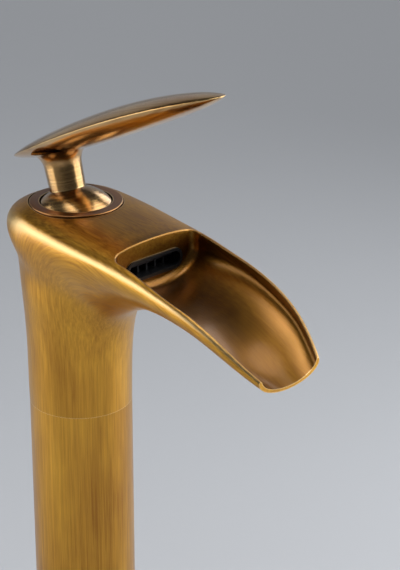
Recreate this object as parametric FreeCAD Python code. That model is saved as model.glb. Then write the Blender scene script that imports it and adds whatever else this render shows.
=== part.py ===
import FreeCAD
import Part
import math
import os

os.makedirs("parts", exist_ok=True)

# Waterfall basin tap with one lever, in millimetres.
# The origin is on the deck under the column. +Z is up and the spout reaches out along -Y.
# A "drop" is a distance below the trim ring's flat top, and "ahead" is one along -Y.

# Main heights and reach
ring_height = 234.0          # the trim ring's flat top above the deck
column_joint_drop = 92.0     # joint between column and casting
spout_reach = 125.5          # lip ahead of the column's axis
lip_drop = 44.6              # underside of the lip

# Column and foot
column_d = 45.0
column_wall = 2.5
gasket_t = 2.0
gasket_inset = 0.5           # inside the foot ring's edge
gasket_stand = 1.5           # outside the studs
foot_ring_d = 52.0
foot_ring_h = 7.0
foot_ring_round = 2.0
foot_plug_h = 10.0
hose_slot_l = 32.5
hose_slot_w = 17.0
spigot_l = 9.0
spigot_root = 2.0            # above the joint, inside the head
spigot_wall = 2.0
hollow_drop = 60.0           # top of the hollow under the head

# Head and spout
head_w = 57.6                # widest, across the shoulders
spout_w = 55.2               # across the spout at the hood
hood_reach = 48.5            # the trough's back wall ahead of the axis
hood_run = 3.5               # the sides start to fall this far past the hood
hood_wall = 4.4              # shoulder left each side of the trough at the hood
lip_narrowing = 10.8         # the spout's half width shrinks by this from hood to lip
lip_wall = 1.6
lip_floor = 1.2
trough_round = 4.0           # corner between the trough and its back wall
edge_round = 0.6             # edges of the hood and of the trough's sides
section_count = 49           # sections under the casting's skin
trough_over = 12.0           # the trough's cutter stands this far over the ring
trough_rows = 17
side_points = 9              # points down one straight side of the trough
round_points = 48            # points in one whole turn of a section

# Ceramic cartridge of the 35 mm size
cartridge_d = 35.0
pivot_drop = 15.0            # the lever's pivot
seat_drop = 41.5             # the cartridge's seat
neck_d = 28.4                # neck of the case, inside the nut
neck_drop = 11.4
nut_top_drop = 10.6
nut_low_drop = 19.0
nut_overhang = 0.9           # the nut stands out beyond the case
nut_bore_d = 29.0
nut_notch_w = 3.2
nut_notch_h = 2.5
recess_drop = 9.8            # room for the dome's edge over the nut
shelf_drop = 4.4             # underside of the shelf that carries the trim ring
flange_drop = 22.5           # top of the turret's flange
flange_d = 29.8
turret_top_drop = 10.9
turret_low_drop = 24.0
rail_low_drop = 28.5
carrier_top_drop = 24.3
turret_d = 23.04
case_wall = 2.3
case_lap = 0.2               # case over the base
base_h = 5.6
fixed_disc_t = 3.95
moving_disc_t = 2.5
moving_disc_d = 24.8
chamber_d = 18.0             # hollow under the moving disc
chamber_h = 1.2
carrier_d = 25.2
carrier_w = 20.4
film = 0.05                  # grease between the discs
seal_t = 0.6
seal_w = 1.4
port_d = 4.8
outlet_port_d = 8.0
port_x = 8.0
port_y = 4.0
outlet_port_y = -9.0
peg_d = 3.8                  # the base's two locating pegs
peg_hole_d = 4.0
peg_l = 2.0
peg_room = 0.5               # under the pegs
peg_x = 13.0
peg_y = -4.0
spindle_side = 6.5
spindle_top = 30.0           # above the pivot
spindle_over = 0.5           # room over the spindle's end
spindle_low = 4.2            # below the pivot
spindle_arm = 11.0           # pivot to the ball that drives the disc
arm_d = 3.8
ball_d = 5.24
pin_d = 3.2
pin_l = 22.0
swing_room = 11.6            # slot for the swinging spindle

# Lever, as photographed
stem_tilt = 15.5             # the stem leans back
spindle_tilt = 10.5          # the spindle leans back, near the top of its 25 degrees
blade_rise = 23.35           # the blade climbs towards its front tip
dome_r = 21.0                # the dome is centred on the pivot
dome_t = 2.4
dome_edge_angle = 60.0
hub_d = 13.0
hub_low = 12.5               # above the pivot
stem_d = 15.1
stem_top_d = 16.2
stem_low = 13.0              # stem's core, above the pivot, before the dome is cut from it
flare_r = 8.0
flare_drop = 9.5             # the flare starts this far under the blade's edge plane
flare_end_drop = 2.4
blade_l = 137.3
blade_w = 30.0
blade_top_t = 3.6
blade_under_t = 7.0
blade_bow = 3.1              # the blade's edge arches up between its tips
blade_skew = 1.2             # more in the front half than in the rear
blade_edge_r = 0.8           # rounding of the blade's edge
blade_rows = 8               # sections in half the blade
blade_tip_turn = 85.6        # the last sections lie just inside the blunt tips
blade_height = 38.95         # pivot to the blade's edge plane, along the stem
blade_ahead = 38.4           # the blade's middle ahead of the stem
lens_long = 0.45             # how far the blade's arches are cut off, tip to tip
lens_cross = 0.41            # and edge to edge
screw_d = 5.0
screw_l = 4.5
screw_height = 26.0          # above the pivot
screw_key = 2.5
plug_d = 6.0

# Trim ring
ring_d = 39.9
ring_t = 2.2
ring_gap = 0.4               # groove between ring and head
ring_round = 0.5
dome_gap = 0.6               # ring to dome

# Outlet
slot_w = 30.8
slot_h = 9.0
slot_top_drop = 11.0
slot_corner = 4.3
frame_wall = 1.3
frame_depth = 11.0
frame_lap = 0.5              # the waterway reaches this far into the frame
frame_proud = 0.6
fin_count = 5
fin_t = 0.8
fin_inset = 4.6              # fins behind the frame's front
way_front = 20.7             # the water's way up, ahead of the cartridge
way_back = 24.8
way_w = 18.0
way_mouth_w = 27.2
floor_way_w = 12.0
way_floor_drop = 47.0
way_roof_drop = 43.0

# Inlets and fixing
inlet_thread_d = 9.0         # wall of the M10 x 1 thread
inlet_thread_l = 10.0
stud_d = 6.0
stud_pitch = 26.0
worktop_t = 30.0
stud_tail = 30.0
clamp_d = 48.0
clamp_rubber_t = 3.0
clamp_steel_t = 2.0
nut_flats = 10.0
nut_h = 5.0

# Clearances
pin_clear = 0.02
thread_clear = 0.03
press_clear = 0.05
run_clear = 0.06
slip_clear = 0.1
rail_clear = 0.15
spindle_clear = 0.25
loose_clear = 0.3
touch = 0.01                 # edges nearer than this to a face lie on it
past = 1.0                   # cutters start or end this far past the face they open

column_r = column_d / 2
bore_r = column_r - column_wall
head_r = head_w / 2
spout_r = spout_w / 2
pivot_z = ring_height - pivot_drop
seat_z = ring_height - seat_drop
joint_z = ring_height - column_joint_drop


def cylinder(radius, low, high, x=0.0, y=0.0):
    """Upright cylinder between two heights."""
    return Part.makeCylinder(radius, high - low, FreeCAD.Vector(x, y, low))


def tube(outer, inner, low, high, x=0.0, y=0.0):
    """Upright tube between two heights."""
    return cylinder(outer, low, high, x, y).cut(cylinder(inner, low - past, high + past, x, y))


def crossbar(radius, length, height):
    """Round bar lying along X, centred over the axis."""
    start = FreeCAD.Vector(-length / 2, 0, height)
    return Part.makeCylinder(radius, length, start, FreeCAD.Vector(1, 0, 0))


def block(x0, x1, y0, y1, z0, z1):
    """Box between two corners."""
    return Part.makeBox(x1 - x0, y1 - y0, z1 - z0, FreeCAD.Vector(x0, y0, z0))


def bar(side, low, high):
    """Upright square bar centred on the axis."""
    return block(-side / 2, side / 2, -side / 2, side / 2, low, high)


def hex_prism(flats, low, high, x, y):
    """Upright hexagonal bar."""
    corner = flats / math.sqrt(3)
    turns = [math.radians(60 * k) for k in range(7)]
    points = [FreeCAD.Vector(x + corner * math.cos(a), y + corner * math.sin(a), low) for a in turns]
    return Part.Face(Part.makePolygon(points)).extrude(FreeCAD.Vector(0, 0, high - low))


def stadium(length, width, low, high):
    """Upright slot body with round ends, long along X."""
    end = (length - width) / 2
    body = block(-end, end, -width / 2, width / 2, low, high)
    return body.fuse([cylinder(width / 2, low, high, end), cylinder(width / 2, low, high, -end)])


def lean_back(shape, degrees):
    """Lean a shape back towards +Y about the X axis through its own origin."""
    shape.rotate(FreeCAD.Vector(0, 0, 0), FreeCAD.Vector(1, 0, 0), -degrees)


def at_pivot(shape, degrees):
    """Copy of a shape built upright on the pivot, leant back and lifted to its place."""
    moved = shape.copy()
    lean_back(moved, degrees)
    moved.translate(FreeCAD.Vector(0, 0, pivot_z))
    return moved


def save(node, *solids):
    """Write one node's solids to its STEP file."""
    shape = solids[0] if len(solids) == 1 else Part.makeCompound(list(solids))
    shape.exportStep("parts/%s.step" % node)


# Head and spout casting.
# Slanted cross-sections fan round the crook under the spout, from level ones in the column
# to upright ones in the spout. Each row holds how far the section's inner end is ahead and
# its drop, the same for its outer end, its half width, the share of the way out where it is
# widest, and how square its outer half is.
def section(in_ahead, in_drop, out_ahead, out_drop, half_width, widest, squareness):
    """Points round one section: half an ellipse inside, half a superellipse outside."""
    points = []
    for k in range(round_points + 1):
        turn = math.tau * (k % round_points) / round_points
        along = -math.cos(turn)
        power = 2 / squareness if along > 0 else 1.0
        reach = widest * (1 + along)
        if along > 0:
            reach = widest + (1 - widest) * along ** power
        side = math.copysign(abs(math.sin(turn)) ** power, math.sin(turn)) * half_width
        ahead = in_ahead + reach * (out_ahead - in_ahead)
        drop = in_drop + reach * (out_drop - in_drop)
        points.append(FreeCAD.Vector(side, -ahead, ring_height - drop))
    return points


def eased(rows, count):
    """More rows, evenly spaced along smooth curves through the given rows of numbers."""
    places = [0.0]
    for row, following in zip(rows, rows[1:]):
        places.append(places[-1] + math.dist(row[:4], following[:4]))
    columns = []
    for numbers in zip(*rows):
        points = [FreeCAD.Vector(number, place, 0) for number, place in zip(numbers, places)]
        curve = Part.BSplineCurve()
        curve.interpolate(Points=points, Parameters=places)
        columns.append([curve.value(places[-1] * k / (count - 1)).x for k in range(count)])
    return list(zip(*columns))


def skinned(rows):
    """Solid under one smooth skin through the sections, closed by its flat ends."""
    surface = Part.BSplineSurface()
    surface.interpolate(rows)
    skin = surface.toShape()
    ends = []
    for row in (rows[0], rows[-1]):
        middle = sum(row[:-1], FreeCAD.Vector()) * (1 / (len(row) - 1))
        rim = min(skin.Edges, key=lambda e: e.CenterOfMass.distanceToPoint(middle))
        ends.append(Part.Face(Part.Wire([rim])))
    shell = Part.makeShell([skin] + ends)
    shell.sewShape()
    solid = Part.makeSolid(shell)
    solid.fix(touch, touch, touch)
    if solid.Volume < 0:
        solid.reverse()
    return solid


def along_spout(share):
    """Distance ahead at a share of the way from just past the hood to the lip."""
    start = hood_reach + hood_run
    return start + share * (spout_reach - start)


joint = column_joint_drop
lip = lip_drop
outline = [
    (column_r, joint, -column_r, joint, column_r, 0.50, 2.0),
    (column_r + 0.1, joint - 12, -column_r - 0.2, joint - 12, column_r + 0.2, 0.50, 2.0),
    (column_r + 0.6, 68.0, -column_r - 0.3, 62.0, column_r + 0.5, 0.50, 2.0),
    (25.0, 54.8, -24.0, 41.0, 24.1, 0.50, 2.0),
    (28.6, 46.6, -25.2, 26.0, 25.1, 0.51, 2.0),
    (33.0, 41.9, -26.1, 15.0, 25.6, 0.54, 2.2),
    (36.6, 39.6, -27.7, 6.0, head_r - 1.5, 0.60, 2.4),
    (40.0, 37.9, -18.0, -0.2, head_r - 0.4, 0.64, 2.8),
    (43.0, 36.6, -1.0, -0.6, head_r, 0.70, 3.0),
    (46.5, 35.2, 16.0, 0.4, head_r - 0.2, 0.73, 2.6),
    (51.0, 33.4, 33.0, 1.8, spout_r + 0.3, 0.74, 2.3),
    (along_spout(0.05), 31.4, along_spout(0.0), 4.0, spout_r - 0.3, 0.72, 2.4),
    (along_spout(0.19), 29.4, along_spout(0.19), 7.5, spout_r - 1.0, 0.70, 3.0),
    (along_spout(0.38), 28.7, along_spout(0.38), 11.3, spout_r - 1.4, 0.68, 3.6),
    (along_spout(0.58), lip - 13.4, along_spout(0.58), 16.0, spout_r - 2.6, 0.69, 4.0),
    (along_spout(0.76), lip - 8.4, along_spout(0.76), 22.6, spout_r - 4.6, 0.72, 4.4),
    (along_spout(0.90), lip - 3.4, along_spout(0.90), 30.0, spout_r - 7.6, 0.77, 4.4),
    (spout_reach, lip, spout_reach, 36.2, spout_r - lip_narrowing, 0.84, 4.4),
]
casting = skinned([section(*row) for row in eased(outline, section_count)])

# The trough: U-shaped sections, each (ahead, half width, drop where the sides turn in, drop
# of the floor).
hood_half = spout_r - hood_wall
lip_half = spout_r - lip_narrowing - lip_wall
trough_outline = [
    (hood_reach, hood_half, 13.0, 24.6),
    (along_spout(0.19), hood_half, 13.8, 24.5),
    (along_spout(0.38), hood_half + 0.6, 16.4, 25.4),
    (along_spout(0.58), hood_half - 0.4, 21.0, lip - 16.4),
    (along_spout(0.76), hood_half - 2.1, 26.4, lip - 10.8),
    (along_spout(0.90), hood_half - 4.9, 32.6, lip - 4.8),
    (spout_reach, lip_half, lip - 8.0, lip - lip_floor),
    (spout_reach + 6.0, lip_half - 3.0, lip - 5.0, lip + 2.0),
]

trough_top = ring_height + trough_over


def trough_section(ahead, half_width, side_drop, floor_drop):
    """Points down one side of the trough, under in half an ellipse and up the other side."""
    side_z = ring_height - side_drop
    fall = (side_z - trough_top) / side_points
    side = [(half_width, trough_top + fall * k) for k in range(side_points)]
    under = []
    for k in range(round_points // 2 + 1):
        turn = math.tau * k / round_points
        drop = side_drop + (floor_drop - side_drop) * math.sin(turn)
        under.append((half_width * math.cos(turn), ring_height - drop))
    far_side = [(-x, z) for x, z in reversed(side)]
    return [FreeCAD.Vector(x, -ahead, z) for x, z in side + under + far_side]


def middle(edge):
    """Point halfway along an edge."""
    return edge.valueAt((edge.FirstParameter + edge.LastParameter) / 2)


def channel(rows):
    """Solid under one open, channel-shaped skin, closed by flat ends and a flat top."""
    surface = Part.BSplineSurface()
    surface.interpolate(rows)
    skin = surface.toShape()
    rims = [e for e in skin.Edges if middle(e).z > trough_top - touch]
    faces = [skin]
    for edge in skin.Edges:
        if middle(edge).z < trough_top - touch:
            lid = Part.makeLine(edge.Vertexes[0].Point, edge.Vertexes[-1].Point)
            faces.append(Part.Face(Part.Wire([edge, lid])))
            rims.append(lid)
    faces.append(Part.Face(Part.Wire(Part.__sortEdges__(rims))))
    shell = Part.makeShell(faces)
    shell.sewShape()
    solid = Part.makeSolid(shell)
    if solid.Volume < 0:
        solid.reverse()
    return solid


trough = channel([trough_section(*row) for row in eased(trough_outline, trough_rows)])
back_edges = [e for e in trough.Edges if abs(middle(e).y + hood_reach) < touch]
back_end = [e for e in back_edges if middle(e).z < ring_height]
casting = casting.cut(trough.makeFillet(trough_round, back_end))


def on_rim(edge):
    """True for the sharp edges of the hood and the trough's two sides."""
    point = middle(edge)
    beside = abs(point.x) > hood_half / 2
    over_slot = point.z > ring_height - slot_top_drop
    return hood_reach - touch < -point.y < spout_reach - touch and (beside or over_slot)


casting = casting.makeFillet(edge_round, [e for e in casting.Edges if on_rim(e)])

# Outlet slot through the trough's back wall.
frame_half = slot_w / 2
slot_top = ring_height - slot_top_drop
slot_low = slot_top - slot_h


def slot_bar(grow, front, back):
    """Bar with rounded corners, lying along Y, the slot's shape grown by a small amount."""
    shape = block(-frame_half - grow, frame_half + grow, -front, -back, slot_low - grow, slot_top + grow)
    edges = [e for e in shape.Edges if abs(e.Vertexes[0].Y - e.Vertexes[1].Y) > 1]
    return shape.makeFillet(slot_corner + grow, edges)


frame_back = hood_reach - frame_depth
casting = casting.cut(slot_bar(slip_clear / 2, hood_reach + trough_round, frame_back))

# Waterway: down from the seat, forward under it, up ahead of the cartridge and out.
way_top = slot_top - frame_wall + loose_clear
way_low = slot_low + frame_wall - slip_clear
floor_low = ring_height - way_floor_drop
floor_high = ring_height - way_roof_drop
floor_way_end = outlet_port_y - outlet_port_d / 2 + past
casting = casting.cut([
    block(-way_mouth_w / 2, way_mouth_w / 2, -frame_back - frame_lap, -way_front, way_low, way_top),
    block(-way_w / 2, way_w / 2, -way_back, -way_front, floor_low, way_top),
    block(-floor_way_w / 2, floor_way_w / 2, -way_back, floor_way_end, floor_low, floor_high),
    cylinder(outlet_port_d / 2, floor_low, seat_z + past, 0, outlet_port_y),
])

# Bores down from the ring's seat to the cartridge seat.
nut_top = ring_height - nut_top_drop
nut_low = ring_height - nut_low_drop
case_r = cartridge_d / 2
nut_r = case_r + nut_overhang
recess_low = ring_height - recess_drop
shelf_low = ring_height - shelf_drop
casting = casting.cut([
    cylinder(ring_d / 2 + ring_gap, ring_height - ring_t, ring_height + 2 * past),
    cylinder(nut_r + 2 * slip_clear, shelf_low - past, ring_height),
    cylinder(dome_r - loose_clear, recess_low, shelf_low),
    cylinder(nut_r + thread_clear, nut_low - past, recess_low + past),
    cylinder(case_r + slip_clear, seat_z, ring_height),
])

# Inlets up from the hollow under the head, and the two holes that place the cartridge.
hollow_top = ring_height - hollow_drop
for side in (-1, 1):
    x = side * port_x
    casting = casting.cut([
        cylinder(inlet_thread_d / 2, hollow_top - past, hollow_top + inlet_thread_l, x, port_y),
        cylinder(port_d / 2, hollow_top, seat_z + past, x, port_y),
        cylinder(peg_hole_d / 2, seat_z - peg_l - peg_room, seat_z + past, side * peg_x, peg_y),
    ])
spigot_r = bore_r - press_clear
hollow_r = spigot_r - spigot_wall
spigot = tube(spigot_r, hollow_r, joint_z - spigot_l, joint_z + spigot_root)
casting = casting.cut(cylinder(hollow_r, joint_z - past, hollow_top)).fuse(spigot).removeSplitter()
save("spout_casting", casting)

# Column and foot.
save("column_tube", tube(column_r, bore_r, gasket_t, joint_z))
foot_ring_top = gasket_t + foot_ring_h
foot_ring = tube(foot_ring_d / 2, column_r + press_clear, gasket_t, foot_ring_top)
top_edges = [e for e in foot_ring.Edges if e.BoundBox.ZMin > foot_ring_top - touch]
outer_edge = max(top_edges, key=lambda e: e.Length)
save("foot_ring", foot_ring.makeFillet(foot_ring_round, [outer_edge]))
stud_r = stud_d / 2
stud_y = stud_pitch / 2
gasket_in = stud_y + stud_r + gasket_stand
save("foot_gasket", tube(foot_ring_d / 2 - gasket_inset, gasket_in, 0, gasket_t))
plug_top = gasket_t + foot_plug_h
foot_plug = cylinder(bore_r - press_clear, gasket_t, plug_top)
foot_plug = foot_plug.cut(stadium(hose_slot_l, hose_slot_w, 0, plug_top + past))
clamp_top = -worktop_t
plate_top = clamp_top - clamp_rubber_t
plate_low = plate_top - clamp_steel_t
studs = []
nuts = []
for y in (-stud_y, stud_y):
    foot_plug = foot_plug.cut(cylinder(stud_r + thread_clear, 0, plug_top + past, 0, y))
    studs.append(cylinder(stud_r, -worktop_t - stud_tail, plug_top, 0, y))
    nut = hex_prism(nut_flats, plate_low - nut_h, plate_low, 0, y)
    nuts.append(nut.cut(cylinder(stud_r + thread_clear, plate_low - nut_h - past, plate_low + past, 0, y)))
save("foot_plug", foot_plug)
save("fixing_studs", *studs)
save("stud_nuts", *nuts)


def horseshoe(low, high):
    """Round plate, open to one side for the hoses, with a hole for each stud."""
    plate = cylinder(clamp_d / 2, low, high).cut(stadium(hose_slot_l, hose_slot_w, low - past, high + past))
    plate = plate.cut(block(0, clamp_d, -hose_slot_w / 2, hose_slot_w / 2, low - past, high + past))
    holes = [cylinder(stud_r + loose_clear, low - past, high + past, 0, y) for y in (-stud_y, stud_y)]
    return plate.cut(holes)


save("clamp_rubber", horseshoe(plate_top, clamp_top))
save("clamp_plate", horseshoe(plate_low, plate_top))

# Trim ring: its inner face follows the dome round the pivot.
ring_ball = Part.makeSphere(dome_r + dome_gap, FreeCAD.Vector(0, 0, pivot_z))
trim_ring = cylinder(ring_d / 2, ring_height - ring_t, ring_height).cut(ring_ball)
top_edges = [e for e in trim_ring.Edges if e.BoundBox.ZMin > ring_height - touch]
outer_edge = max(top_edges, key=lambda e: e.Length)
save("trim_ring", trim_ring.makeFillet(ring_round, [outer_edge]))

# Cartridge nut, with notches for its key.
nut_bore_r = nut_bore_d / 2
cartridge_nut = tube(nut_r, nut_bore_r, nut_low, nut_top)
notch_half = nut_notch_w / 2
notch_low = nut_top - nut_notch_h
for k in range(6):
    notch = block(nut_bore_r - past, nut_r + past, -notch_half, notch_half, notch_low, nut_top + past)
    notch.rotate(FreeCAD.Vector(0, 0, 0), FreeCAD.Vector(0, 0, 1), 60 * k + 30)
    cartridge_nut = cartridge_nut.cut(notch)
save("cartridge_nut", cartridge_nut)

# Cartridge case and base.
turret_r = turret_d / 2
flange_r = flange_d / 2
case_in = case_r - case_wall
base_top = seat_z + base_h
flange_top = ring_height - flange_drop
case = cylinder(case_r, base_top - case_lap, nut_low)
case = case.fuse(cylinder(neck_d / 2, nut_low, ring_height - neck_drop))
case = case.cut([
    cylinder(turret_r + run_clear, flange_top, ring_height),
    cylinder(case_in, base_top - past, flange_top + slip_clear),
])
save("cartridge_housing", case)

base = cylinder(case_r, seat_z + seal_t, base_top - case_lap - press_clear)
base = base.fuse(cylinder(case_in - press_clear, base_top - past, base_top))
ports = [(0.0, outlet_port_y, outlet_port_d / 2)]
for side in (-1, 1):
    ports.append((side * port_x, port_y, port_d / 2))
    peg = cylinder(peg_d / 2, seat_z - peg_l, base_top - past, side * peg_x, peg_y)
    base = base.fuse(peg)
disc_top = base_top + fixed_disc_t
fixed_disc = cylinder(case_in - loose_clear, base_top, disc_top)
seals = []
for x, y, radius in ports:
    base = base.cut(cylinder(radius, seat_z, base_top + past, x, y))
    fixed_disc = fixed_disc.cut(cylinder(radius, base_top - past, disc_top + past, x, y))
    seals.append(tube(radius + seal_w, radius, seat_z, seat_z + seal_t, x, y))
save("cartridge_base", base.removeSplitter())
save("port_seals", *seals)
save("fixed_disc", fixed_disc)

# Moving disc and its carrier, set ahead by the leaning spindle.
disc_y = -spindle_arm * math.sin(math.radians(spindle_tilt))
moving_low = disc_top + film
moving_top = moving_low + moving_disc_t
moving_disc = cylinder(moving_disc_d / 2, moving_low, moving_top, 0, disc_y)
chamber = cylinder(chamber_d / 2, moving_low - past, moving_low + chamber_h, 0, disc_y)
save("moving_disc", moving_disc.cut(chamber))
ball_r = ball_d / 2
carrier_r = carrier_d / 2
carrier_half = carrier_w / 2
carrier_top = ring_height - carrier_top_drop
carrier = cylinder(carrier_r, moving_top, carrier_top, 0, disc_y)
flats = block(-carrier_half, carrier_half, disc_y - carrier_r, disc_y + carrier_r, moving_top, carrier_top)
ball_hole_low = pivot_z - spindle_arm - ball_r - 2 * slip_clear
ball_hole = cylinder(ball_r + run_clear, ball_hole_low, carrier_top + past, 0, disc_y)
save("disc_carrier", carrier.common(flats).cut(ball_hole))

# Turret: turns in the case's neck, carries the pivot pin and guides the carrier.
turret_low = ring_height - turret_low_drop
rail_low = ring_height - rail_low_drop
turret = cylinder(turret_r, turret_low, ring_height - turret_top_drop)
turret = turret.fuse(cylinder(flange_r, rail_low, flange_top))
rail_in = carrier_half + rail_clear
slot_x = spindle_side / 2 + spindle_clear
swing = swing_room / 2
turret = turret.cut([
    block(-rail_in, rail_in, -flange_r, flange_r, rail_low - past, turret_low),
    block(-slot_x, slot_x, -swing, swing, rail_low, ring_height),
    crossbar(pin_d / 2 + pin_clear, cartridge_d, pivot_z),
])
save("turret", turret.removeSplitter())
save("spindle_pin", crossbar(pin_d / 2, pin_l, pivot_z))

# Spindle, built upright about the pivot and then leant back.
spindle = bar(spindle_side, -spindle_low, spindle_top).fuse([
    cylinder(arm_d / 2, -spindle_arm, -spindle_low),
    Part.makeSphere(ball_r, FreeCAD.Vector(0, 0, -spindle_arm)),
])
spindle = spindle.cut(crossbar(pin_d / 2 + run_clear, pin_l, 0))
save("spindle", at_pivot(spindle.removeSplitter(), spindle_tilt))

# Dome: a shell of a ball centred on the pivot, with a hub round the spindle.
inner_dome_r = dome_r - dome_t
cone_h = 2 * dome_r
cone = Part.makeCone(0, cone_h * math.tan(math.radians(dome_edge_angle)), cone_h)
dome = Part.makeSphere(dome_r).cut(Part.makeSphere(inner_dome_r)).common(cone)
dome = dome.fuse(cylinder(hub_d / 2, hub_low, inner_dome_r + dome_t / 4))
socket_side = spindle_side + 2 * press_clear
dome = dome.cut(bar(socket_side, hub_low - past, dome_r + past))
save("dome", at_pivot(dome.removeSplitter(), spindle_tilt))


# Lever: a lens-shaped blade on a stem that flares into it.
def swell(share, cut_off):
    """Height of a shallow arch at a share of its half span, 1 in the middle and 0 at the ends."""
    return (math.sqrt(1 + cut_off ** 2 - share ** 2) - cut_off) / (math.sqrt(1 + cut_off ** 2) - cut_off)


def blade_section(share):
    """Round the blade at a share of its half length, -1 at the rear tip and 1 at the front."""
    half = blade_w / 2 * math.sqrt(1 - share ** 2)
    edge_z = (blade_bow + blade_skew * share) * (1 - share ** 2)
    edge_t = blade_edge_r * math.sqrt(1 - share ** 8)
    points = []
    for k in range(round_points):
        turn = math.tau * k / round_points
        thick = blade_top_t if math.sin(turn) > 0 else -blade_under_t
        lens = thick * swell(share, lens_long) * swell(math.cos(turn), lens_cross)
        height = edge_z + lens + edge_t * math.sin(turn)
        points.append(FreeCAD.Vector(half * math.cos(turn), -share * blade_l / 2, height))
    curve = Part.BSplineCurve()
    curve.interpolate(Points=points, PeriodicFlag=True)
    return Part.Wire([curve.toShape()])


# The blade's middle lies ahead of the stem. It is placed about the pivot in the lever's own
# frame, where the stem stands upright.
turns = [math.radians(blade_tip_turn * k / blade_rows) for k in range(-blade_rows, blade_rows + 1)]
blade = Part.makeLoft([blade_section(math.sin(turn)) for turn in turns], True, False)
blade.translate(FreeCAD.Vector(0, -blade_ahead, 0))
lean_back(blade, blade_rise - stem_tilt)
blade.translate(FreeCAD.Vector(0, 0, blade_height))
foot_r = stem_d / 2
neck_r = stem_top_d / 2
flare_low = blade_height - flare_drop
flare_top = blade_height - flare_end_drop


def flare(share):
    """Point in the stem's turning profile at a share of the flare's height."""
    climb = share * (flare_top - flare_low)
    spread = flare_r - math.sqrt(flare_r ** 2 - climb ** 2)
    return FreeCAD.Vector(neck_r + spread, 0, flare_low + climb)


core_low = FreeCAD.Vector(0, 0, stem_low)
core_top = FreeCAD.Vector(0, 0, flare_top)
foot = FreeCAD.Vector(foot_r, 0, stem_low)
profile = Part.Wire([
    Part.makeLine(core_low, foot),
    Part.makeLine(foot, flare(0)),
    Part.Arc(flare(0), flare(0.6), flare(1)).toShape(),
    Part.makeLine(flare(1), core_top),
    Part.makeLine(core_top, core_low),
])
stem = Part.Face(profile).revolve(FreeCAD.Vector(0, 0, 0), FreeCAD.Vector(0, 0, 1), 360)
lever = blade.fuse(stem.cut(Part.makeSphere(dome_r + press_clear)))

# Socket for the spindle, which leans less than the stem, and the side hole of the grub screw.
socket = bar(socket_side, stem_low - 3 * past, spindle_top + spindle_over)
lean_back(socket, spindle_tilt - stem_tilt)
screw_r = screw_d / 2
plug_r = plug_d / 2
spindle_drift = screw_height * math.tan(math.radians(stem_tilt - spindle_tilt))
screw_near = spindle_side / 2 - spindle_drift + spindle_clear
screw_far = screw_near + screw_l


def rearward(radius, near, far):
    """Round bar lying along +Y at the grub screw's height."""
    start = FreeCAD.Vector(0, near, screw_height)
    return Part.makeCylinder(radius, far - near, start, FreeCAD.Vector(0, 1, 0))


lever = lever.cut([
    socket,
    rearward(screw_r + thread_clear, 0, screw_far + slip_clear),
    rearward(plug_r + thread_clear, screw_far, neck_r + flare_r / 2),
])
save("lever", at_pivot(lever, stem_tilt))
key = hex_prism(screw_key, screw_far - screw_key, screw_far + past, 0, 0)
lean_back(key, 90)
key.translate(FreeCAD.Vector(0, 0, screw_height))
save("grub_screw", at_pivot(rearward(screw_r, screw_near, screw_far).cut(key), stem_tilt))
plug_limit = cylinder(foot_r + loose_clear, 0, blade_height)
plug = rearward(plug_r, screw_far + press_clear, neck_r + flare_r / 2).common(plug_limit)
save("index_plug", at_pivot(plug, stem_tilt))

# Outlet: a black frame in the slot and upright fins that straighten the sheet of water.
frame = slot_bar(0, hood_reach + frame_proud, frame_back + slip_clear)
save("outlet_frame", frame.cut(slot_bar(-frame_wall, hood_reach + 2 * past, frame_back - past)))
fin_front = -(hood_reach - fin_inset)
fin_back = -(frame_back + 1)
fin_low = slot_low + frame_wall
fin_top = slot_top - frame_wall
fin_half = frame_half - frame_wall
cross_z = (fin_low + fin_top) / 2
fins = []
for k in range(fin_count):
    x = 2 * fin_half * ((k + 1) / (fin_count + 1) - 0.5)
    fins.append(block(x - fin_t / 2, x + fin_t / 2, fin_front, fin_back, fin_low, fin_top))
cross = block(-fin_half, fin_half, fin_front, fin_back, cross_z - fin_t / 2, cross_z + fin_t / 2)
save("outlet_fins", cross.fuse(fins).removeSplitter())
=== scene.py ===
import math

import bpy
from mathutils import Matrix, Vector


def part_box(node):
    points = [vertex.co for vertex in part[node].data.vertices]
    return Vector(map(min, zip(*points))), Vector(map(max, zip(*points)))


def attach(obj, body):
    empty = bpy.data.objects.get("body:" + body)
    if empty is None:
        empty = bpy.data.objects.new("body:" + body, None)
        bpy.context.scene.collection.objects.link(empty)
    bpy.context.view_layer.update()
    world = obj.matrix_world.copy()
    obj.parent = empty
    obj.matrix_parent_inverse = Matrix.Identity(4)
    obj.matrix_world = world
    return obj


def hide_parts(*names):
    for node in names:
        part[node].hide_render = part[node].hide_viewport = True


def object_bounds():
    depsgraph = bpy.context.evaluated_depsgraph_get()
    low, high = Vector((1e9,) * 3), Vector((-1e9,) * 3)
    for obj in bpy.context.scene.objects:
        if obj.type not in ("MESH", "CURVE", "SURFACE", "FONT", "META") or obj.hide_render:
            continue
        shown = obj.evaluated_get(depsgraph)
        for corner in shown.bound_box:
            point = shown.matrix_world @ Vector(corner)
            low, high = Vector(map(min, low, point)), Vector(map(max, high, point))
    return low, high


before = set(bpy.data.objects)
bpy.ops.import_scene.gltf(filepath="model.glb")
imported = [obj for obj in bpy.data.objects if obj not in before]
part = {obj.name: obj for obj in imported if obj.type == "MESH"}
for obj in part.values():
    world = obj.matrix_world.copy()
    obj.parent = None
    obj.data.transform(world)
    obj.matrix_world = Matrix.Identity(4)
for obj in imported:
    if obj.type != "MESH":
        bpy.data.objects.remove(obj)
cad_box = [list(corner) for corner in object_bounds()]


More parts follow.
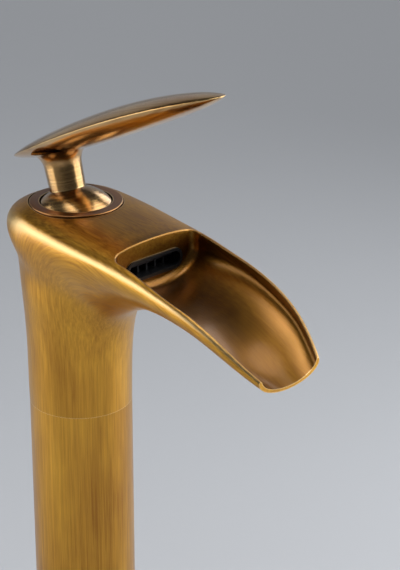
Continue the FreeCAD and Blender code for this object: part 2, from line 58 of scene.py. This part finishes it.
# ---------------------------------------------------------------------------------------------
# Body casting: the head, hood and open trough are one sand-cast brass piece, belt-brushed along
# its length, chemically darkened, rubbed back so that the high places show gold, and lacquered.
# ---------------------------------------------------------------------------------------------
def colour(hex_value):
    """sRGB hex as the linear RGBA that the shaders take."""
    channels = []
    for place in (1, 3, 5):
        share = int(hex_value[place:place + 2], 16) / 255
        channels.append(share / 12.92 if share <= 0.04045 else ((share + 0.055) / 1.055) ** 2.4)
    return (*channels, 1.0)


def add(tree, kind, inputs=None, **settings):
    """Add one node with its settings. Each input is a value, or the output that feeds it."""
    made = tree.nodes.new(kind)
    for name, value in settings.items():
        setattr(made, name, value)
    for name, value in (inputs or {}).items():
        if isinstance(value, bpy.types.NodeSocket):
            tree.links.new(value, made.inputs[name])
        else:
            made.inputs[name].default_value = value
    return made


def combine(tree, operation, first, second):
    """Result of one sum on two numbers, each a value or an output."""
    return add(tree, "ShaderNodeMath", {0: first, 1: second}, operation=operation).outputs[0]


def blend(tree, factor, low, high):
    """Colour between two others. A Mix node's colours are its sockets 6 and 7, its result 2."""
    return add(tree, "ShaderNodeMix", {0: factor, 6: low, 7: high}, data_type="RGBA").outputs[2]


def stretched(tree, vector, x, y, z):
    """Coordinates scaled for a pattern whose features measure x, y and z metres."""
    return add(tree, "ShaderNodeMapping", {
        "Vector": vector, "Scale": (1 / x, 1 / y, 1 / z)}).outputs[0]


def noise(tree, vector, detail, roughness):
    """Soft noise between 0 and 1, in coordinates that already carry its size."""
    return add(tree, "ShaderNodeTexNoise", {
        "Vector": vector, "Scale": 1.0, "Detail": detail, "Roughness": roughness}).outputs["Fac"]


def remap(tree, value, low, high, to_low, to_high):
    """Value stretched from one range to another and held inside it."""
    return add(tree, "ShaderNodeMapRange", {
        "Value": value, "From Min": low, "From Max": high,
        "To Min": to_low, "To Max": to_high}).outputs[0]


def new_material(name):
    """An empty material, its node tree and the object coordinates that its patterns use."""
    material = bpy.data.materials.new(name)
    material.use_nodes = True
    tree = material.node_tree
    tree.nodes.clear()
    return material, tree, add(tree, "ShaderNodeTexCoord").outputs["Object"]


def dress(material, *node_names):
    """Give CAD nodes one material all over."""
    for name in node_names:
        mesh = part[name].data
        mesh.materials.clear()
        mesh.materials.append(material)


def antique_brass(tree, grain, cloud, gold, brown, contrast, roughness, lacquer,
                  wear=0.8, paler=0.0, darker=0.0):
    """Darkened, lacquered brass: hairlines that follow grain, patches of patina from cloud, painted
    shade in hollows and under other parts, and edges worn bare with a painted highlight along them.
    paler adds a painted highlight and darker a painted shade where the caller marks them."""
    hairlines = noise(tree, grain, 4.0, 0.65)
    worn = combine(tree, "ADD", hairlines, noise(tree, cloud, 3.0, 0.55))
    shade = remap(tree, worn, 1.0 - contrast, 1.0 + contrast, 1.0, 0.0)
    # Painted shade: the colour darkens to deep brown where little open air is seen, in hollows and
    # under other parts, and where the darker mask asks for it.
    open_air = add(tree, "ShaderNodeAmbientOcclusion", {"Distance": hollow_reach}, samples=8)
    painted_hollow_shade = remap(tree, open_air.outputs["AO"], closed_in, wide_open, hollow_shade_amount, 0.0)
    metal = blend(tree, combine(tree, "MAXIMUM", painted_hollow_shade, darker),
                  blend(tree, shade, colour(gold), colour(brown)), colour(hollow_shade_brown))
    # Edges are drawn paler: wear that bares the metal, and a painted highlight along the rims. The
    # paler mask adds its painted highlight here too.
    eased_edge = add(tree, "ShaderNodeBevel", {"Radius": edge_wear}, samples=4)
    geometry = add(tree, "ShaderNodeNewGeometry")
    turn = add(tree, "ShaderNodeVectorMath", {
        0: eased_edge.outputs[0], 1: geometry.outputs["Normal"]}, operation="DOT_PRODUCT")
    edge = remap(tree, turn.outputs["Value"], sharp_edge, no_edge, wear, 0.0)
    worn_and_highlighted = combine(tree, "MAXIMUM", edge, paler)
    relief = add(tree, "ShaderNodeBump", {
        "Height": hairlines, "Strength": 0.30, "Distance": hairline_depth})
    surface = add(tree, "ShaderNodeBsdfPrincipled", {
        "Base Color": blend(tree, worn_and_highlighted, metal, colour(bare_and_highlight_gold)), "Metallic": 1.0,
        "Roughness": remap(tree, hairlines, 0.3, 0.7, roughness - 0.05, roughness + 0.06),
        "Normal": relief.outputs[0], "Coat Weight": lacquer, "Coat Roughness": 0.18})
    add(tree, "ShaderNodeOutputMaterial", {"Surface": surface.outputs[0]})


gold = "#E0A83C"             # rubbed metal, warm yellow
brown = "#A06A24"            # darkened metal, red brown
hollow_shade_brown = "#5E3A14"       # painted shade in hollows and under other parts
bare_and_highlight_gold = "#F0D093"        # bare edges, with the painted highlights along the edges and on the head's shoulders
edge_wear = 0.0006
sharp_edge = 0.90            # cosine between an eased edge's normal and the true one
no_edge = 0.995
hollow_reach = 0.030
closed_in = 0.40             # share of the open air that a hollow sees
wide_open = 0.95
hollow_shade_amount = 0.9
hairline = 0.0009            # a real hairline is 0.1 mm wide; drawn coarser so that it shows
hairline_run = 0.035
hairline_depth = 0.0002
patina_size = 0.030
patina_run = 0.075
crook_y = -0.040             # the brushing turns round this line under the spout
crook_z = 0.186
spout_fall = math.radians(21.0)
hood_end = -0.044            # the open trough starts ahead of this line
trough_start = -0.050

head_finish, tree, place = new_material("brushed antique brass, along the spout")
axis = add(tree, "ShaderNodeSeparateXYZ", {0: place})
past_y = combine(tree, "SUBTRACT", axis.outputs["Y"], crook_y)
past_z = combine(tree, "SUBTRACT", axis.outputs["Z"], crook_z)
rise = combine(tree, "SUBTRACT",
               combine(tree, "MULTIPLY", past_z, math.cos(spout_fall)),
               combine(tree, "MULTIPLY", past_y, math.sin(spout_fall)))
across = add(tree, "ShaderNodeCombineXYZ", {
    "X": combine(tree, "MAXIMUM", past_y, 0.0), "Y": combine(tree, "MAXIMUM", rise, 0.0)})
turned = add(tree, "ShaderNodeVectorMath", {0: across.outputs[0]}, operation="LENGTH")
flow = add(tree, "ShaderNodeCombineXYZ", {
    "X": axis.outputs["X"], "Y": turned.outputs["Value"],
    "Z": combine(tree, "SUBTRACT", past_y, past_z)}).outputs[0]
geometry = add(tree, "ShaderNodeNewGeometry")
facing = add(tree, "ShaderNodeSeparateXYZ", {0: geometry.outputs["Normal"]})
upward = facing.outputs["Z"]
half = combine(tree, "SIGN", axis.outputs["X"], 0.0)
outward = combine(tree, "MULTIPLY", facing.outputs["X"], half)

# The shoulders between the top and the sides, facing out and part way up, are drawn paler: a
# painted highlight.
leaning = combine(tree, "MULTIPLY", remap(tree, upward, 0.05, 0.35, 0.0, 1.0),
                  remap(tree, upward, 0.50, 0.80, 1.0, 0.0))
painted_shoulder_highlight = combine(tree, "MULTIPLY", remap(tree, outward, 0.05, 0.40, 0.0, 0.80), leaning)

# Faces in the trough that look up and not out are drawn darker: painted shade.
cupped = combine(tree, "MULTIPLY", remap(tree, upward, 0.0, 0.15, 0.0, 1.0),
                 remap(tree, outward, 0.05, 0.25, 1.0, 0.0))
inside = combine(tree, "MULTIPLY",
                 remap(tree, axis.outputs["Y"], trough_start, hood_end, 0.80, 0.0), cupped)
antique_brass(tree, stretched(tree, flow, hairline, hairline, hairline_run),
              stretched(tree, flow, patina_size, patina_size, patina_run), gold, brown,
              contrast=0.34, roughness=0.34, lacquer=0.25, paler=painted_shoulder_highlight, darker=inside)
dress(head_finish, "spout_casting")


# ---------------------------------------------------------------------------------------------
# Column: a drawn brass tube, brushed up and down, with the same darkening and lacquer. It slides
# over the casting's spigot, and its joint shows as a faint line. The foot ring is turned to match.
# ---------------------------------------------------------------------------------------------
column_finish, tree, place = new_material("brushed antique brass, up the column")
antique_brass(tree, stretched(tree, place, hairline, hairline, hairline_run),
              stretched(tree, place, patina_size, patina_size, patina_run), gold, brown,
              contrast=0.30, roughness=0.36, lacquer=0.3, wear=0.1)
dress(column_finish, "column_tube", "foot_ring")


# ---------------------------------------------------------------------------------------------
# Trim ring: turned brass, screwed down over the cartridge nut, marked in circles by the lathe
# and darker than the head because nothing rubs it.
# ---------------------------------------------------------------------------------------------
def rings_about_z(tree, coordinates):
    """Coordinates in which a pattern turns into circles: distance from Z, then height."""
    axis = add(tree, "ShaderNodeSeparateXYZ", {0: coordinates})
    flat = add(tree, "ShaderNodeCombineXYZ", {"X": axis.outputs["X"], "Y": axis.outputs["Y"]})
    radius = add(tree, "ShaderNodeVectorMath", {0: flat.outputs[0]}, operation="LENGTH")
    return add(tree, "ShaderNodeCombineXYZ", {
        "X": radius.outputs["Value"], "Y": axis.outputs["Z"]}).outputs[0]


ring_gold = "#B4763A"
ring_brown = "#744318"
ring_patina = 0.015

ring_finish, tree, place = new_material("turned antique brass")
rings = rings_about_z(tree, place)
antique_brass(tree, stretched(tree, rings, hairline, hairline, 1.0),
              stretched(tree, place, ring_patina, ring_patina, ring_patina),
              ring_gold, ring_brown, contrast=0.32, roughness=0.34, lacquer=0.3)
dress(ring_finish, "trim_ring")


# ---------------------------------------------------------------------------------------------
# Dome: spun brass, polished finer than the head so that the lamps show in it, under the same
# lacquer. Its turning marks circle the leaning stem.
# ---------------------------------------------------------------------------------------------
pivot = (0.0, 0.0, 0.219)
stem_tilt = math.radians(15.5)
polish_patina = 0.025
pale_gold = "#EDC887"        # polished brass loses more of its darkening


def along_stem(tree, place):
    """Object coordinates stood upright, with the lever's pivot at the origin."""
    return add(tree, "ShaderNodeMapping", {
        "Vector": place, "Location": pivot, "Rotation": (-stem_tilt, 0.0, 0.0)},
        vector_type="TEXTURE").outputs[0]


dome_finish, tree, place = new_material("satin antique brass, turned")
rings = rings_about_z(tree, along_stem(tree, place))
antique_brass(tree, stretched(tree, rings, hairline, hairline, 1.0),
              stretched(tree, place, polish_patina, polish_patina, polish_patina),
              pale_gold, brown, contrast=0.36, roughness=0.20, lacquer=0.6)
dress(dome_finish, "dome")


# ---------------------------------------------------------------------------------------------
# Lever: cast brass, the stem turned and the blade brushed from tip to tip, then polished, darkened
# and lacquered like the dome.
# ---------------------------------------------------------------------------------------------
blade_low = 0.030            # above the pivot: turning marks end and brushing begins
blade_high = 0.033

lever_finish, tree, place = new_material("satin antique brass, brushed")
upright = along_stem(tree, place)
axis = add(tree, "ShaderNodeSeparateXYZ", {0: upright})
on_blade = remap(tree, axis.outputs["Z"], blade_low, blade_high, 0.0, 1.0)
strokes = add(tree, "ShaderNodeCombineXYZ", {"X": axis.outputs["X"]})
grain = add(tree, "ShaderNodeMix", {
    0: on_blade, 4: rings_about_z(tree, upright), 5: strokes.outputs[0]}, data_type="VECTOR")
antique_brass(tree, stretched(tree, grain.outputs[1], hairline, hairline, 1.0),
              stretched(tree, place, polish_patina, 2 * polish_patina, polish_patina),
              pale_gold, brown, contrast=0.36, roughness=0.21, lacquer=0.6)
dress(lever_finish, "lever")


# ---------------------------------------------------------------------------------------------
# Outlet: a black ABS frame pressed into the slot and the acetal fins behind it, both injection
# moulded with a faint spark texture.
# ---------------------------------------------------------------------------------------------
def plain(name, base, second, roughness, grain_size, depth, metallic=0.0):
    """A moulded or machined surface: fine grain in its relief and a slight change of tone."""
    material, tree, place = new_material(name)
    grain = noise(tree, stretched(tree, place, grain_size, grain_size, grain_size), 3.0, 0.6)
    relief = add(tree, "ShaderNodeBump", {"Height": grain, "Strength": 0.4, "Distance": depth})
    surface = add(tree, "ShaderNodeBsdfPrincipled", {
        "Base Color": blend(tree, grain, colour(base), colour(second)), "Metallic": metallic,
        "Roughness": remap(tree, grain, 0.3, 0.7, roughness - 0.04, roughness + 0.04),
        "Normal": relief.outputs[0]})
    add(tree, "ShaderNodeOutputMaterial", {"Surface": surface.outputs[0]})
    return material


dress(plain("black ABS, spark textured", "#151617", "#222427",
            roughness=0.38, grain_size=0.0008, depth=0.0001), "outlet_frame")
dress(plain("dark acetal", "#1D1F22", "#2B2D31",
            roughness=0.42, grain_size=0.0008, depth=0.0001), "outlet_fins")


# ---------------------------------------------------------------------------------------------
# Index plug: a pressed-in ABS button over the grub screw, red on the hot side and blue on the
# cold one, moulded glossy.
# ---------------------------------------------------------------------------------------------
index_finish, tree, place = new_material("glossy ABS, red and blue")
side = add(tree, "ShaderNodeSeparateXYZ", {0: place}).outputs["X"]
flow_marks = 0.002
tone = noise(tree, stretched(tree, place, flow_marks, flow_marks, flow_marks), 2.0, 0.5)
red = blend(tree, tone, colour("#A31C17"), colour("#8F1713"))
blue = blend(tree, tone, colour("#1B3F8C"), colour("#17367A"))
button = add(tree, "ShaderNodeBsdfPrincipled", {
    "Base Color": blend(tree, combine(tree, "GREATER_THAN", side, 0.0), red, blue),
    "Roughness": remap(tree, tone, 0.3, 0.7, 0.18, 0.26)})
add(tree, "ShaderNodeOutputMaterial", {"Surface": button.outputs[0]})
dress(index_finish, "index_plug")


# ---------------------------------------------------------------------------------------------
# Cartridge: moulded acetal case, base, turret and carrier, two lapped alumina discs, rubber
# seals, a steel pin and screw, and a machined brass nut and spindle.
# ---------------------------------------------------------------------------------------------
acetal = plain("white acetal", "#E4E2DA", "#D9D6CC",              # milky, half matt
               roughness=0.40, grain_size=0.0010, depth=0.0001)
alumina = plain("lapped alumina", "#EFEDE6", "#E6E3DA",           # flat and nearly mirror bright
                roughness=0.12, grain_size=0.0010, depth=0.00002)
rubber = plain("black rubber", "#1B1B1B", "#262626",              # dull, with a fine skin
               roughness=0.62, grain_size=0.0006, depth=0.0002)
raw_brass = plain("machined brass", "#E3BE74", "#C99F55",         # bright yellow, never darkened
                  roughness=0.28, grain_size=0.0006, depth=0.0001, metallic=1.0)
zinc = plain("zinc-plated steel", "#C9CCD0", "#B2B5BA",           # cool grey with a soft shine
             roughness=0.32, grain_size=0.0010, depth=0.0001, metallic=1.0)
dress(acetal, "cartridge_housing", "cartridge_base", "turret", "disc_carrier")
dress(alumina, "fixed_disc", "moving_disc")
dress(rubber, "port_seals")
dress(raw_brass, "cartridge_nut", "spindle")
dress(zinc, "spindle_pin", "grub_screw")


# ---------------------------------------------------------------------------------------------
# Fixing: a machined brass plug in the column's foot, two rolled steel studs with brass nuts, a
# pressed steel horseshoe plate over a rubber one, and a rubber gasket on the deck. The studs'
# M6 threads are rolled: each is a ridge wound round the core, one turn to the millimetre.
# ---------------------------------------------------------------------------------------------
dress(rubber, "foot_gasket", "clamp_rubber")
dress(raw_brass, "foot_plug", "stud_nuts")
dress(zinc, "clamp_plate", "fixing_studs")

stud_low, stud_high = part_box("fixing_studs")
stud_size = {"Radius": (stud_high[0] - stud_low[0]) / 2, "Length": stud_high[2] - stud_low[2],
             "Middle": (stud_low[2] + stud_high[2]) / 2, "Pitch": 0.001, "Depth": 0.0006,
             "Spacing": 0.026}

studs = bpy.data.node_groups.new("threaded studs", "GeometryNodeTree")
for name in stud_size:
    studs.interface.new_socket(name, in_out="INPUT", socket_type="NodeSocketFloat")
studs.interface.new_socket("Geometry", in_out="OUTPUT", socket_type="NodeSocketGeometry")
size = add(studs, "NodeGroupInput").outputs
core_radius = combine(studs, "SUBTRACT", size["Radius"], size["Depth"])
wound = combine(studs, "SUBTRACT", size["Length"], combine(studs, "MULTIPLY", size["Depth"], 2.0))
ridge = add(studs, "GeometryNodeCurveSpiral", {
    "Resolution": 24, "Rotations": combine(studs, "DIVIDE", wound, size["Pitch"]),
    "Start Radius": core_radius, "End Radius": core_radius, "Height": wound})
upright = add(studs, "GeometryNodeSetCurveNormal", {"Curve": ridge.outputs[0]}, mode="Z_UP")
section = add(studs, "GeometryNodeCurvePrimitiveCircle", {"Resolution": 4, "Radius": size["Depth"]})
thread = add(studs, "GeometryNodeCurveToMesh", {
    "Curve": upright.outputs[0], "Profile Curve": section.outputs["Curve"], "Fill Caps": True})
centred = add(studs, "GeometryNodeTransform", {
    "Geometry": thread.outputs[0], "Translation": add(studs, "ShaderNodeCombineXYZ", {
        "Z": combine(studs, "MULTIPLY", wound, -0.5)}).outputs[0]})
core = add(studs, "GeometryNodeMeshCylinder", {
    "Vertices": 24, "Radius": core_radius, "Depth": size["Length"]})
stud = add(studs, "GeometryNodeJoinGeometry")
studs.links.new(core.outputs["Mesh"], stud.inputs[0])
studs.links.new(centred.outputs[0], stud.inputs[0])
pair = add(studs, "GeometryNodeMeshLine", {
    "Count": 2, "Start Location": add(studs, "ShaderNodeCombineXYZ", {
        "Y": combine(studs, "MULTIPLY", size["Spacing"], -0.5), "Z": size["Middle"]}).outputs[0],
    "Offset": add(studs, "ShaderNodeCombineXYZ", {"Y": size["Spacing"]}).outputs[0]})
placed = add(studs, "GeometryNodeInstanceOnPoints", {
    "Points": pair.outputs[0], "Instance": stud.outputs[0]})
real = add(studs, "GeometryNodeRealizeInstances", {"Geometry": placed.outputs[0]})
plated = add(studs, "GeometryNodeSetMaterial", {"Geometry": real.outputs[0], "Material": zinc})
add(studs, "NodeGroupOutput", {"Geometry": plated.outputs[0]})

seed = bpy.data.objects.new("studs_seed", bpy.data.meshes.new("studs_seed"))
bpy.context.scene.collection.objects.link(seed)
maker = seed.modifiers.new("threaded studs", "NODES")
maker.node_group = studs
for socket in studs.interface.items_tree:
    if socket.in_out == "INPUT":
        maker[socket.identifier] = stud_size[socket.name]
view = bpy.context.evaluated_depsgraph_get()
studs_mesh = bpy.data.meshes.new_from_object(seed.evaluated_get(view), depsgraph=view)
bpy.data.objects.remove(seed)
threaded_studs = bpy.data.objects.new("threaded_studs", studs_mesh)
bpy.context.scene.collection.objects.link(threaded_studs)
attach(threaded_studs, "tap_body")
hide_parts("fixing_studs")


# ---------------------------------------------------------------------------------------------
# Floor: a plain pale painted floor that runs out of the picture on every side.
# ---------------------------------------------------------------------------------------------
floor_gap = 0.0002
floor_z = cad_box[0][2] - floor_gap
floor_half = 6.0
paint_clouds = 0.4
corners = [(-floor_half, -floor_half, floor_z), (floor_half, -floor_half, floor_z),
           (floor_half, floor_half, floor_z), (-floor_half, floor_half, floor_z)]
floor_mesh = bpy.data.meshes.new("floor")
floor_mesh.from_pydata(corners, [], [(0, 1, 2, 3)])
floor = bpy.data.objects.new("floor", floor_mesh)
bpy.context.scene.collection.objects.link(floor)
floor_finish, tree, place = new_material("pale painted floor")
tone = noise(tree, stretched(tree, place, paint_clouds, paint_clouds, paint_clouds), 2.0, 0.5)
paint = add(tree, "ShaderNodeBsdfPrincipled", {
    "Base Color": blend(tree, tone, colour("#B9BCC1"), colour("#B5B8BD")), "Roughness": 0.7})
add(tree, "ShaderNodeOutputMaterial", {"Surface": paint.outputs[0]})
floor_mesh.materials.append(floor_finish)


# ---------------------------------------------------------------------------------------------
# Light: a soft panel close on each side, a small one behind to the right, a wide dim one far
# behind, and two lamps overhead that light the floor. The room itself stays dark.
# ---------------------------------------------------------------------------------------------
camera_azimuth = -40.0
room_grey = "#8C9096"
room_light = 0.25

world = bpy.data.worlds.new("studio")
world.use_nodes = True
bpy.context.scene.world = world
world.node_tree.nodes.clear()
room = add(world.node_tree, "ShaderNodeBackground", {
    "Color": colour(room_grey), "Strength": room_light})
add(world.node_tree, "ShaderNodeOutputWorld", {"Surface": room.outputs[0]})


def softbox(name, turn, distance, middle, width, tall, radiance, tip, spread=180.0):
    """A soft lamp at an angle right of the camera, on the object's axis, tipped down by tip."""
    lamp = bpy.data.lights.new(name, "AREA")
    lamp.shape = "RECTANGLE"
    lamp.size = width
    lamp.size_y = tall
    lamp.energy = radiance * math.pi * width * tall
    lamp.spread = math.radians(spread)
    stand = bpy.data.objects.new(name, lamp)
    bpy.context.scene.collection.objects.link(stand)
    bearing = math.radians(camera_azimuth + turn)
    stand.location = (distance * math.sin(bearing), -distance * math.cos(bearing), floor_z + middle)
    stand.rotation_euler = (math.pi / 2 - math.radians(tip), 0.0, bearing)
    stand.visible_camera = False


softbox("lamp_left", turn=-90.0, distance=0.55, middle=0.40, width=0.60, tall=0.70,
        radiance=1.9, tip=4.0)
softbox("lamp_right", turn=95.0, distance=0.55, middle=0.55, width=0.56, tall=1.00,
        radiance=2.8, tip=4.0)
softbox("lamp_back", turn=180.0, distance=2.6, middle=1.10, width=4.0, tall=1.6,
        radiance=0.25, tip=10.0)
softbox("lamp_back_right", turn=145.0, distance=0.80, middle=0.55, width=0.30, tall=0.40,
        radiance=2.2, tip=18.0)
softbox("lamp_floor", turn=180.0, distance=1.0, middle=1.9, width=10.0, tall=10.0,
        radiance=0.42, tip=90.0, spread=50.0)
softbox("lamp_floor_front", turn=0.0, distance=0.9, middle=1.3, width=1.2, tall=0.8,
        radiance=1.2, tip=90.0, spread=60.0)


# ---------------------------------------------------------------------------------------------
# Camera: 20 degrees above the trim ring and 40 degrees round from the spout, as in the photograph.
# ---------------------------------------------------------------------------------------------
camera_data = bpy.data.cameras.new("camera")
camera_data.lens = 122.35
camera_data.sensor_width = 36.0
camera = bpy.data.objects.new("camera", camera_data)
camera.location = (-0.49467, -0.58952, 0.51714)
camera.rotation_euler = (math.radians(67.2357), 0.0, math.radians(-43.899))
bpy.context.scene.collection.objects.link(camera)
bpy.context.scene.camera = camera
bpy.context.scene.view_settings.view_transform = "Standard"
